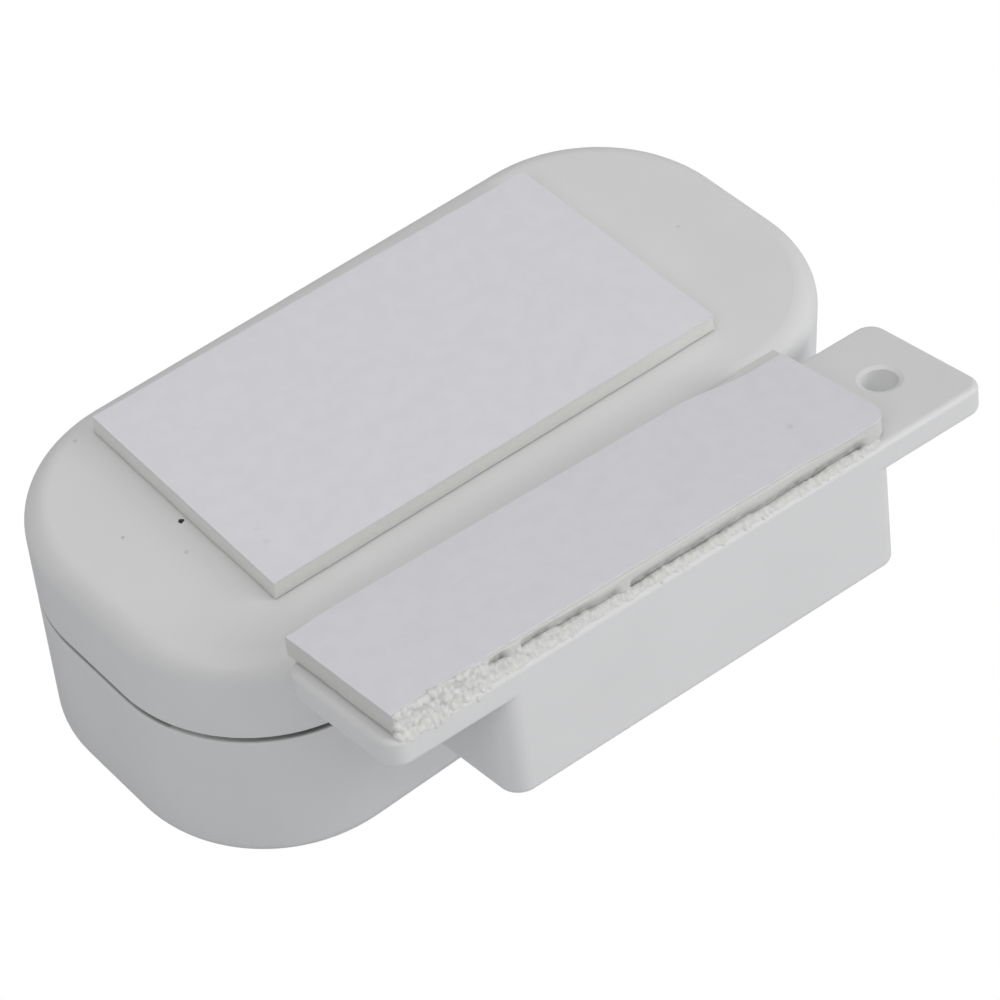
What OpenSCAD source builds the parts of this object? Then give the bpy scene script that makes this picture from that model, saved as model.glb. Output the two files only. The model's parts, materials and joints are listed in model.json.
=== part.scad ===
// Wireless door contact sensor: a pill-shaped sensor unit and a magnet unit with two screw ears.
// The sensor lies on its front face. The origin is the centre of that face, +X runs along the
// sensor, -Y points to the magnet unit and +Z leaves through the mounting side.

/* [Sensor case] */
// Length of the sensor
sensor_l = 68; // [67.6:0.1:72]
// Width of the sensor
sensor_w = 33.8; // [33.6:0.1:36]
// Height of the sensor
sensor_h = 22; // [21.4:0.1:24]
// Radius of the case's corners in plan
corner_r = 13.1; // [12:0.1:13.4]
// Rounding along the back cover's edge
edge_r = 2; // [0.8:0.1:2.4]
// Rounding along the front face's edge
front_r = 1.3; // [0.6:0.1:1.4]
// Wall thickness of both shells
wall_t = 1.6; // [1.4:0.1:1.7]
// Thickness of the front and back faces
face_t = 1.8; // [1.5:0.1:1.9]
// Height of the front shell's outer rim
rim_z = 13.6; // [13.2:0.05:14]
// Height of the shadow gap between the shells
shadow_gap = 0.45; // [0.2:0.05:0.5]
// Rounding of the two rims at the shadow gap
rim_r = 0.25; // [0.15:0.05:0.3]
// How far the cover's lip reaches into the front shell
lip_h = 2.4; // [2:0.1:3]
// Thickness of the lip
lip_t = 1; // [0.8:0.1:1.2]
// Clearance between the lip and the front shell
lip_gap = 0.15; // [0.12:0.01:0.2]

/* [Mounting pad] */
// Length of the foam pad on the back
pad_l = 43.7; // [40:0.1:45]
// Width of the foam pad
pad_w = 23.7; // [20:0.1:25]
// Thickness of the foam
pad_t = 1.55; // [1:0.05:2]
// Place of the pad's centre
pad_x = -1.1; // [-2:0.05:2]
// Place of the pad's centre across the case
pad_y = 1.45; // [-2:0.05:2]
// Turn of the pad, as it was stuck on
pad_turn = -1.3; // [-3:0.1:3]
// Thickness of the release liners
liner_t = 0.12; // [0.1:0.01:0.2]

/* [Circuit board] */
// Height of the board's underside
board_z = 4.8; // [4.7:0.1:4.9]
// Thickness of the board
board_t = 1.2; // [1:0.1:1.2]
// Gap between the board and the case
board_gap = 0.4; // [0.3:0.05:0.5]
// Place of the board's fixings along the case
fix_x = 28.2; // [28:0.1:28.4]
// Place of the board's fixings across the case
fix_y = 8.6; // [8.3:0.1:8.8]
// Radius of the screws' shanks
screw_r = 0.8; // [0.7:0.05:0.9]

/* [Cells] */
// Length of an AAA cell, with its button
cell_l = 44.5; // [43.9:0.1:44.5]
// Radius of an AAA cell
cell_r = 5.25; // [5.1:0.05:5.25]
// Distance between the two cells' axes
cell_pitch = 11.2; // [11:0.1:11.4]
// Room for each battery spring
spring_l = 3.75; // [3.5:0.05:3.8]

/* [Reed switch] */
// Outer radius of the glass
reed_r = 1; // [0.95:0.05:1.05]
// Length of the glass
reed_l = 12; // [11:0.5:13]
// Place of the reed switch across the case
reed_y = -13.5; // [-13.6:0.05:-13.4]

/* [Buttons] */
// Side of the two switch cases
switch_w = 4.5; // [4.2:0.1:4.7]
// Distance of the switches from the case's middle
switch_x = 29; // [28.9:0.05:29.1]
// Travel of the pairing button
pairing_travel = 0.25; // [0.2:0.05:0.3]
// Travel of the tamper plunger
tamper_travel = 0.9; // [0.5:0.1:0.9]
// Height of the tamper plunger's top with the cover on
tamper_top = 15; // [14:0.1:16]

/* [Light pipe] */
// Radius of the window in the front face
window_r = 1.5; // [1:0.1:1.6]
// Place of the window along the case
window_x = 23; // [22:0.5:24]

/* [Magnet unit] */
// Length over both ears
ears_l = 58.8; // [56:0.1:62]
// Width of the magnet unit
unit_w = 12.9; // [12.7:0.1:14]
// Thickness of the ears
ear_t = 2.5; // [1.8:0.1:2.8]
// Radius of the ears' corners
ear_corner_r = 1.6; // [1:0.1:2]
// Rounding of the ears' and the box's outer edges
ear_edge_r = 0.5; // [0.3:0.05:0.6]
// Length of the box
box_l = 39; // [38:0.1:42]
// Depth of the box in front of the ears
box_h = 9.1; // [8.8:0.1:11]
// Rounding of the box's upright edges
box_r = 1.8; // [1:0.1:2]
// Radius of the screw holes
ear_hole_r = 1.5; // [1.25:0.05:2]
// Distance of each screw hole from the middle
ear_hole_x = 24.2; // [23.5:0.1:25]
// Length of the bar magnet
magnet_l = 30; // [20:0.5:31]
// Width of the bar magnet
magnet_w = 8; // [6:0.1:8.2]
// Thickness of the bar magnet
magnet_t = 5; // [4:0.1:6]

/* [Magnet tape] */
// Length of the foam tape, which covers one ear
tape_l = 47.9; // [40:0.1:48]
// Width of the tape
tape_w = 12.95; // [11:0.05:13]
// Thickness of the tape's foam
tape_t = 2; // [1:0.05:2.2]
// Place of the tape's middle along the unit
tape_x = -4.45; // [-4.5:0.05:0]
// Place of the tape's middle across the unit
tape_y = 0.5; // [-0.2:0.05:0.5]

/* [Place of the magnet unit] */
// Middle of the unit's mounting side, along the case
unit_x = 0.8; // [-2:0.1:2]
// Middle of the unit's mounting side, across the case
unit_y = -24.6; // [-40:0.1:-24.6]
// Height of the unit's mounting side
unit_z = 24.6; // [24:0.1:26]
// Lean of the mounting side towards the sensor
unit_lean = 9.3; // [8:0.1:10]
// Dip of the +X end
unit_dip = 2.4; // [0:0.1:3]
// Turn in plan
unit_turn = -1.2; // [-1.5:0.1:0]

/* [Hidden] */

$fn = 96;
bite = 0.5;          // overlap that makes two bodies one solid
run_gap = 0.05;      // radial clearance of a sliding piece
seat_gap = 0.02;     // gap between pieces that only rest on each other

// Sensor case
inner_l = sensor_l - 2 * wall_t;
inner_w = sensor_w - 2 * wall_t;
inner_r = corner_r - wall_t;
cover_z = rim_z + shadow_gap;
roof_z = sensor_h - face_t;
step_t = 0.9;        // width of the shadow gap into the wall
lip_z = cover_z - lip_h;
crush_r = 0.4;       // radius of the lip's friction ribs
crush_x = [-15, 0, 15];
window_gap = 0.05;

// Circuit board
board_top = board_z + board_t;
boss_r = 2.2;
pilot_depth = 2.6;
pin_r = 0.9;
fixings = [[fix_x, fix_y], [-fix_x, -fix_y]];
locators = [[fix_x, -fix_y], [-fix_x, fix_y]];
screw_head_r = 1.9;
screw_head_h = 1.2;
screw_l = 3.6;       // length under the head

// Battery holder and contacts
tray_floor = 1;
cell_z = board_top + tray_floor + 0.25 + cell_r;
cell_gap = 0.1;
plate_t = 0.4;
tray_wall = 1.2;
tray_inner_l = cell_l + spring_l + 2 * plate_t + 0.1;
tray_l = tray_inner_l + 2 * tray_wall;
tray_w = cell_pitch + 2 * (cell_r + cell_gap) + 2 * 0.95;
tray_h = 7.6;        // height of the side walls over the board
tray_end_h = 10;     // height of the end walls over the board
plate_x = tray_inner_l / 2 - plate_t;
button_r = 1.9;
button_h = 1.2;
plate_low = board_top + tray_floor + 0.5;
plate_h = 8.2;
plate_w = 8.6;
leg_w = 1.6;
leg_low = board_z - 0.5;
wire_r = 0.25;

// Reed switch
reed_z = board_top + reed_r + 0.3;
lead_r = 0.25;
lead_x = reed_l / 2 + 3;
blade_w = 1;
blade_t = 0.15;
blade_lap = 0.9;
cavity_x = reed_l / 2 - 1.6;

// Switches
switch_h = 2.4;
tamper_h = 3.4;
button_stem_r = 1.2;
flange_r = 1.55;
flange_t = 0.6;
chamber_r = 1.65;
chamber_floor = 0.5;

// Radio
radio_x = -12;
radio_l = 18;
radio_w = 13;
radio_t = 0.8;
radio_z = board_z - radio_t;
can_l = 12;
can_w = 11;
can_h = 1.6;
can_t = 0.2;
can_x = radio_x + (radio_l - can_l) / 2 - 0.5;

// Magnet unit, in its own frame: z = 0 is the mounting side, the box points to -z
unit_low = -ear_t - box_h;
plate_seat = 1.2;
plate_rim = 1;
well_l = box_l - 4;
well_w = unit_w - 4.2;
well_low = unit_low + 1.6;
hole_chamfer = 0.15;   // depth of the shallow cone at each screw hole's mouth
hole_mouth = 0.4;      // width of that cone

// Rectangle with round corners, centred
module round_rect(l, w, r) {
    square([l - 2 * r, w], center = true);
    square([l, w - 2 * r], center = true);
    for (sx = [-1, 1], sy = [-1, 1])
        translate([sx * (l / 2 - r), sy * (w / 2 - r)]) circle(r);
}

// Straight block with round corners in plan, from z = low up to z = high
module slab(l, w, r, low, high) {
    translate([0, 0, low]) linear_extrude(high - low) round_rect(l, w, r);
}

// Slab moved in plan
module slab_at(at, l, w, r, low, high) {
    translate([at[0], at[1], 0]) slab(l, w, r, low, high);
}

// Block with round corners in plan and a shaped edge. The child is the edge's cross-section,
// with x counted outwards from the corner's axis and y as the height.
module edged_block(l, w, r, low, high) {
    mid_l = l - 2 * r;
    mid_w = w - 2 * r;
    translate([-mid_l / 2, -mid_w / 2, low]) cube([mid_l, mid_w, high - low]);
    for (half = [0, 180]) rotate([0, 0, half]) {
        translate([-mid_l / 2, mid_w / 2, 0]) rotate([90, 0, 90]) linear_extrude(mid_l) children();
        translate([mid_l / 2, mid_w / 2, 0]) rotate([90, 0, 0]) linear_extrude(mid_w) children();
        translate([mid_l / 2, mid_w / 2, 0]) rotate_extrude(angle = 90) children();
        translate([mid_l / 2, -mid_w / 2, 0]) rotate([0, 0, -90]) rotate_extrude(angle = 90) children();
    }
}

// Cross-section of an edge: low and high corners rounded with their own radii
module edge_profile(r, low, high, low_r, high_r) {
    translate([0, low + low_r]) square([r, high - low - low_r - high_r]);
    translate([0, low]) square([r - low_r, low_r]);
    translate([0, high - high_r]) square([r - high_r, high_r]);
    intersection() {
        translate([r - low_r, low + low_r]) circle(low_r);
        translate([0, low]) square([r, low_r]);
    }
    intersection() {
        translate([r - high_r, high - high_r]) circle(high_r);
        translate([0, high - high_r]) square([r, high_r]);
    }
}

// Rounded outer form of a case half or of the magnet unit
module soft_block(l, w, r, low, high, low_r, high_r) {
    edged_block(l, w, r, low, high) edge_profile(r, low, high, low_r, high_r);
}

// Upright cylinder at a place in plan, from z = low up to z = high
module post(at, r, low, high) {
    translate([at[0], at[1], low]) cylinder(h = high - low, r = r);
}

// Box centred in plan, from z = low up to z = high
module brick(at, l, w, low, high) {
    translate([at[0] - l / 2, at[1] - w / 2, low]) cube([l, w, high - low]);
}

// Puts its children from the magnet unit's own frame into the assembly
module in_unit() {
    translate([unit_x, unit_y, unit_z]) rotate([-unit_lean, unit_dip, unit_turn]) children();
}

module front_shell() {
    color("whitesmoke") difference() {
        union() {
            difference() {
                union() {
                    soft_block(sensor_l, sensor_w, corner_r, 0, rim_z, front_r, rim_r);
                    slab(sensor_l - 2 * step_t, sensor_w - 2 * step_t, corner_r - step_t,
                         rim_z - bite, cover_z);
                }
                slab(inner_l, inner_w, inner_r, face_t, cover_z + 1);
            }
            for (at = concat(fixings, locators)) post(at, boss_r, face_t - bite, board_z);
            for (at = locators) post(at, pin_r, board_z - bite, board_top + 0.4);
        }
        for (at = fixings) post(at, screw_r + seat_gap, board_z - pilot_depth, board_z + 1);
        post([window_x, 0], window_r + window_gap, -1, face_t + 1);
    }
}

module back_cover() {
    lip_l = inner_l - 2 * lip_gap;
    lip_w = inner_w - 2 * lip_gap;
    lip_r = inner_r - lip_gap;
    rib_y = lip_w / 2 - crush_r + lip_gap - seat_gap;
    rib_l = 36;
    color("whitesmoke") {
        difference() {
            soft_block(sensor_l, sensor_w, corner_r, cover_z, sensor_h, rim_r, edge_r);
            slab(inner_l, inner_w, inner_r, cover_z - 1, roof_z);
        }
        difference() {
            union() {
                slab(lip_l, lip_w, lip_r, lip_z, cover_z + bite);
                slab(inner_l + bite, inner_w + bite, inner_r + bite / 2, cover_z, cover_z + 1.4);
                for (x = crush_x, side = [-1, 1]) post([x, side * rib_y], crush_r, lip_z + 0.4, cover_z + bite);
            }
            slab(lip_l - 2 * lip_t, lip_w - 2 * lip_t, lip_r - lip_t, lip_z - 1, cover_z + 2);
        }
        post([-switch_x, 0], 1.4, tamper_top + seat_gap, roof_z + bite);
        brick([0, 0], rib_l, 1.6, cell_z + 3.9, roof_z + bite);
    }
}

module pad_layer(low, high) {
    translate([pad_x, pad_y, 0]) rotate([0, 0, pad_turn]) slab(pad_l, pad_w, 0.2, low, high);
}

module main_pad_foam() {
    color("white") pad_layer(sensor_h, sensor_h + pad_t);
}

module main_pad_liner() {
    color("lavender") pad_layer(sensor_h + pad_t, sensor_h + pad_t + liner_t);
}

module light_pipe() {
    color("azure") {
        post([window_x, 0], window_r, 0, face_t + 0.3);
        post([window_x, 0], window_r + 0.7, face_t, face_t + 0.6);
        post([window_x, 0], window_r - 0.3, face_t + 0.3, board_z - 1);
    }
}

module main_board() {
    color("seagreen") difference() {
        slab(inner_l - 2 * board_gap, inner_w - 2 * board_gap, inner_r - board_gap, board_z, board_top);
        for (at = fixings) post(at, screw_r + 0.3, board_z - 1, board_top + 1);
        for (at = locators) post(at, pin_r + run_gap, board_z - 1, board_top + 1);
        for (side = [-1, 1]) {
            post([side * lead_x, reed_y], lead_r + run_gap, board_z - 1, board_top + 1);
            brick([plate_x + plate_t / 2, side * cell_pitch / 2],
                  plate_t + 2 * run_gap, leg_w + 2 * run_gap, board_z - 1, board_top + 1);
        }
    }
}

module board_screws() {
    color("silver") for (at = fixings) difference() {
        union() {
            post(at, screw_r, board_top - screw_l, board_top + bite);
            post(at, screw_head_r, board_top, board_top + screw_head_h);
        }
        brick(at, 2.2, 0.4, board_top + screw_head_h - 0.5, board_top + screw_head_h + 1);
        brick(at, 0.4, 2.2, board_top + screw_head_h - 0.5, board_top + screw_head_h + 1);
    }
}

// Cylinder along X between two x values
module along_x(r, from_x, to_x, y, z) {
    translate([from_x, y, z]) rotate([0, 90, 0]) cylinder(h = to_x - from_x, r = r);
}

module battery_holder() {
    half = tray_inner_l / 2;
    trough_r = cell_r + cell_gap;
    color("dimgray") difference() {
        union() {
            brick([0, 0], tray_l, tray_w, board_top, board_top + tray_h);
            for (side = [-1, 1])
                brick([side * (half + tray_wall / 2), 0], tray_wall, tray_w - 2, board_top,
                      board_top + tray_end_h);
        }
        for (side = [-1, 1]) {
            along_x(trough_r, -half, half, side * cell_pitch / 2, cell_z);
            brick([0, side * cell_pitch / 2], 2 * half, 2 * trough_r, cell_z, board_top + tray_end_h + 1);
            brick([plate_x + plate_t / 2, side * cell_pitch / 2],
                  plate_t + 2 * run_gap, plate_w + 2 * run_gap, plate_low - run_gap, cell_z + 6);
            brick([plate_x + plate_t / 2, side * cell_pitch / 2],
                  plate_t + 2 * run_gap, leg_w + 2 * run_gap, board_top - 1, cell_z);
        }
        brick([-plate_x - plate_t / 2, 0], plate_t + 2 * run_gap, plate_w + cell_pitch + 2 * run_gap,
              plate_low - run_gap, cell_z + 6);
    }
}

// An AAA cell with its button towards +X; turn = 180 points the button to -X
module cell(side, turn) {
    translate([0, side * cell_pitch / 2, cell_z]) rotate([0, 0, turn]) {
        along_x(button_r, plate_x - seat_gap - button_h - 0.3, plate_x - seat_gap, 0, 0);
        along_x(cell_r, plate_x - seat_gap - cell_l, plate_x - seat_gap - button_h, 0, 0);
    }
}

module battery_a() {
    color("orange") cell(1, 0);
}

module battery_b() {
    color("orange") cell(-1, 180);
}

module contact_bridge() {
    color("silver")
        brick([-plate_x - plate_t / 2, 0], plate_t, plate_w + cell_pitch, plate_low, plate_low + plate_h);
}

// End contact for one cell, with a leg that is soldered into the board
module end_contact(side) {
    brick([plate_x + plate_t / 2, side * cell_pitch / 2], plate_t, plate_w, plate_low, plate_low + plate_h);
    brick([plate_x + plate_t / 2, side * cell_pitch / 2], plate_t, leg_w, leg_low, plate_low + bite);
}

module contact_positive() {
    color("silver") end_contact(1);
}

module contact_negative() {
    color("silver") end_contact(-1);
}

// Conical wire spring along +X from x = 0, wide end first
module cone_spring(length, wide, narrow, turns) {
    steps = 14;
    sides = 6;
    count = steps * turns;
    rings = [for (i = [0:count])
        let (t = i / count, a = 360 * turns * t, radius = wide + (narrow - wide) * t,
             x = wire_r + (length - 2 * wire_r) * t)
        [for (k = [0:sides - 1])
            let (b = 360 * k / sides, d = radius + wire_r * cos(b))
            [x + wire_r * sin(b), d * cos(a), d * sin(a)]]];
    points = [for (ring = rings) each ring];
    walls = [for (i = [0:count - 1], k = [0:sides - 1])
        let (n = (k + 1) % sides)
        [i * sides + k, i * sides + n, (i + 1) * sides + n, (i + 1) * sides + k]];
    ends = [[for (k = [sides - 1:-1:0]) k], [for (k = [0:sides - 1]) count * sides + k]];
    polyhedron(points, concat(walls, ends), convexity = 10);
}

module battery_springs() {
    room = spring_l - 2 * seat_gap;
    color("silver") for (turn = [0, 180]) rotate([0, 0, turn])
        translate([-plate_x + seat_gap, cell_pitch / 2, cell_z]) cone_spring(room, 3.4, 2, 4);
}

module reed_glass() {
    end_r = reed_r - 0.35;
    color("palegreen") difference() {
        union() {
            along_x(reed_r, -reed_l / 2 + end_r, reed_l / 2 - end_r, reed_y, reed_z);
            for (side = [-1, 1]) translate([side * (reed_l / 2 - end_r), reed_y, reed_z])
                rotate([0, side * 90, 0]) cylinder(h = end_r, r1 = reed_r, r2 = 0.45);
        }
        along_x(reed_r - 0.25, -cavity_x, cavity_x, reed_y, reed_z);
        along_x(lead_r + run_gap, -reed_l, reed_l, reed_y, reed_z);
    }
}

// Outer lead of the reed switch on the side of sign, bent down into the board
module outer_lead(sign) {
    rotate([0, 0, sign > 0 ? 0 : 180]) translate([0, sign * reed_y, 0]) {
        along_x(lead_r, cavity_x, lead_x, 0, reed_z);
        translate([lead_x, 0, reed_z]) sphere(lead_r);
        post([lead_x, 0], lead_r, leg_low, reed_z);
    }
}

// Flat blade inside the glass, from its root at x = root to its tip at x = tip
module blade(root, tip, width, low) {
    brick([(root + tip) / 2, reed_y], abs(root - tip), width, low, low + blade_t);
}

module reed_blade_fixed() {
    color("gray") {
        outer_lead(1);
        blade(cavity_x + bite, cavity_x - bite, 2 * lead_r, reed_z - blade_t);
        blade(cavity_x - seat_gap, -blade_lap / 2, blade_w, reed_z - blade_t);
    }
}

module reed_lead() {
    color("gray") outer_lead(-1);
}

module reed_blade_moving() {
    color("gray") blade(-cavity_x + 0.1, blade_lap / 2, blade_w, reed_z + seat_gap);
}

module status_led() {
    color("ivory") {
        brick([window_x, 0], 2, 1.25, board_z - 0.5, board_z);
        brick([window_x, 0], 1.3, 1, board_z - 0.8, board_z - 0.4);
    }
}

// Switch case on the board with a chamber for the plunger's flange
module switch_case(x, high, shaft_r) {
    top = board_top + high;
    difference() {
        slab_at([x, 0], switch_w, switch_w, 0.4, board_top, top);
        post([x, 0], chamber_r, board_top + chamber_floor, top - 0.5);
        post([x, 0], shaft_r + run_gap, top - 1, top + 1);
    }
}

// Captive plunger: a flange at flange_z and a shaft up to top
module plunger(x, shaft_r, flange_z, top) {
    post([x, 0], flange_r, flange_z, flange_z + flange_t);
    post([x, 0], shaft_r, flange_z, top);
}

module pairing_switch_case() {
    color("dimgray") switch_case(switch_x, switch_h, button_stem_r);
}

module pairing_button() {
    chamber_top = board_top + switch_h - 0.5;
    color("black") plunger(switch_x, button_stem_r, chamber_top - flange_t - seat_gap, board_top + 4);
}

module tamper_switch_case() {
    color("dimgray") switch_case(-switch_x, tamper_h, button_stem_r);
}

module tamper_plunger() {
    flange_z = board_top + tamper_h - 0.5 - flange_t - tamper_travel - seat_gap;
    color("black") plunger(-switch_x, button_stem_r, flange_z, tamper_top);
}

module radio_board() {
    color("darkslateblue") brick([radio_x, 0], radio_l, radio_w, radio_z, board_z);
}

module shield_can() {
    color("silver") difference() {
        brick([can_x, 0], can_l, can_w, radio_z - can_h, radio_z);
        brick([can_x, 0], can_l - 2 * can_t, can_w - 2 * can_t, radio_z - can_h + can_t, radio_z + 1);
    }
}

// Meander of printed copper on the free end of the radio board
module antenna_trace() {
    copper_t = 0.1;
    track = 0.6;
    bar_w = 10;
    steps = 4;
    pitch = 1.2;
    first_x = radio_x - radio_l / 2 + 0.5;
    color("goldenrod") {
        for (i = [0:steps - 1]) translate([first_x + i * pitch, -bar_w / 2, radio_z - copper_t])
            cube([track, bar_w, copper_t]);
        for (i = [0:steps - 2]) translate([first_x + i * pitch, i % 2 == 0 ? bar_w / 2 - track : -bar_w / 2,
                                           radio_z - copper_t])
            cube([pitch + track, track, copper_t]);
    }
}

module controller_chip() {
    color("dimgray") brick([can_x - 2, 0], 5, 5, radio_z - 0.85, radio_z);
}

module crystal() {
    color("silver") slab_at([can_x + 3.2, 2], 2.5, 3.2, 0.3, radio_z - 0.7, radio_z);
}

module tank_capacitor() {
    color("gold") brick([8, 13.4], 3.5, 2.4, board_top, board_top + 1.9);
}

module small_chips() {
    chip_l = 1.6;
    chip_w = 0.8;
    chip_h = 0.45;
    color("saddlebrown") {
        for (x = [-14, -11, -8, 1, 4]) brick([x, 13.6], chip_l, chip_w, board_top, board_top + chip_h);
        for (x = [14, 17, 20], y = [-5, 5]) brick([x, y], chip_w, chip_l, board_z - chip_h, board_z);
        for (y = [-3, 0]) brick([can_x + 3.2, y], chip_l, chip_w, radio_z - chip_h, radio_z);
    }
}

module magnet_housing() {
    color("whitesmoke") in_unit() difference() {
        union() {
            soft_block(ears_l, unit_w, ear_corner_r, -ear_t, 0, ear_edge_r, ear_edge_r);
            soft_block(box_l, unit_w, box_r, unit_low, 0, ear_edge_r, ear_edge_r);
        }
        slab(well_l + 2 * plate_rim, well_w + 2 * plate_rim, 0.5, -plate_seat, 1);
        difference() {
            slab(well_l, well_w, 0.5, well_low, 1);
            for (side = [-1, 1])
                brick([side * (magnet_l / 2 + 1.1), 0], 1.6, well_w + 1, well_low - 1, well_low + 3);
        }
        for (side = [-1, 1]) {
            post([side * ear_hole_x, 0], ear_hole_r, -ear_t - 1, 1);
            translate([side * ear_hole_x, 0, -hole_chamfer])
                cylinder(h = 2 * hole_chamfer, r1 = ear_hole_r, r2 = ear_hole_r + 2 * hole_mouth);
        }
    }
}

module bar_magnet() {
    color("dimgray") in_unit()
        slab(magnet_l, magnet_w, 0.5, well_low + seat_gap, well_low + seat_gap + magnet_t);
}

module magnet_plate() {
    magnet_top = well_low + seat_gap + magnet_t;
    color("whitesmoke") in_unit() {
        slab(well_l + 2 * plate_rim - 0.2, well_w + 2 * plate_rim - 0.2, 0.4, -plate_seat, -seat_gap);
        for (side = [-1, 1]) brick([side * magnet_l / 4, 0], 1.2, well_w - 1, magnet_top, -plate_seat + bite);
    }
}

module tape_layer(low, high) {
    in_unit() translate([tape_x, tape_y, 0]) slab(tape_l, tape_w, 0.3, low, high);
}

module magnet_tape_foam() {
    color("white") tape_layer(0, tape_t);
}

module magnet_tape_liner() {
    color("lavender") tape_layer(tape_t, tape_t + liner_t);
}

front_shell();
back_cover();
main_pad_foam();
main_pad_liner();
light_pipe();
main_board();
board_screws();
battery_holder();
battery_a();
battery_b();
contact_bridge();
contact_positive();
contact_negative();
battery_springs();
reed_glass();
reed_blade_fixed();
reed_lead();
reed_blade_moving();
status_led();
pairing_switch_case();
pairing_button();
tamper_switch_case();
tamper_plunger();
radio_board();
shield_can();
antenna_trace();
controller_chip();
crystal();
tank_capacitor();
small_chips();
magnet_housing();
bar_magnet();
magnet_plate();
magnet_tape_foam();
magnet_tape_liner();
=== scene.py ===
"""Looks for the door contact sensor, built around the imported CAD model.

Meshes are in metres, in the frame of the CAD. Materials give sizes as millimetres times MM, and shapes
are drawn in the plain millimetres of a Place.
"""
import json
import math

import bmesh
import bpy
import numpy as np
from mathutils import Matrix, Vector, noise

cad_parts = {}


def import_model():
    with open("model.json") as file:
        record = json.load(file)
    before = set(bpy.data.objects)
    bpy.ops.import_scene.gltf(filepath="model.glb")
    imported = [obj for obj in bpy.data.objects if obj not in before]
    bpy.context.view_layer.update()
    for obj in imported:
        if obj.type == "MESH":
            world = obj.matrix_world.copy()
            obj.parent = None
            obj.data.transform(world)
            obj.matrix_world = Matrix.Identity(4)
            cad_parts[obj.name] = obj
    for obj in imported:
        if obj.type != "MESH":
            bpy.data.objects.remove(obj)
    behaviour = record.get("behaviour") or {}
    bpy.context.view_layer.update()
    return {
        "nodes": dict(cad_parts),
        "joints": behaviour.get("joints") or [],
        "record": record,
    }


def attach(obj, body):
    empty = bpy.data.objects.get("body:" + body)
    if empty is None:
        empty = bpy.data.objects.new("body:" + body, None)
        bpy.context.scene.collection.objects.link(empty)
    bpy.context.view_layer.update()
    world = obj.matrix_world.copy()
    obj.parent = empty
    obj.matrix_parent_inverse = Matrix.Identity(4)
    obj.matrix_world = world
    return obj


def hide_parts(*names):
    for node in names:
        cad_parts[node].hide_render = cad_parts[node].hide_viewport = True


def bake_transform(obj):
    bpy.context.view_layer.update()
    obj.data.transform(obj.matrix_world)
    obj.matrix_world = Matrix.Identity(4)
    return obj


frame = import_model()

MM = 0.001
NODES = frame["nodes"]


# -------- material helpers

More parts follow.
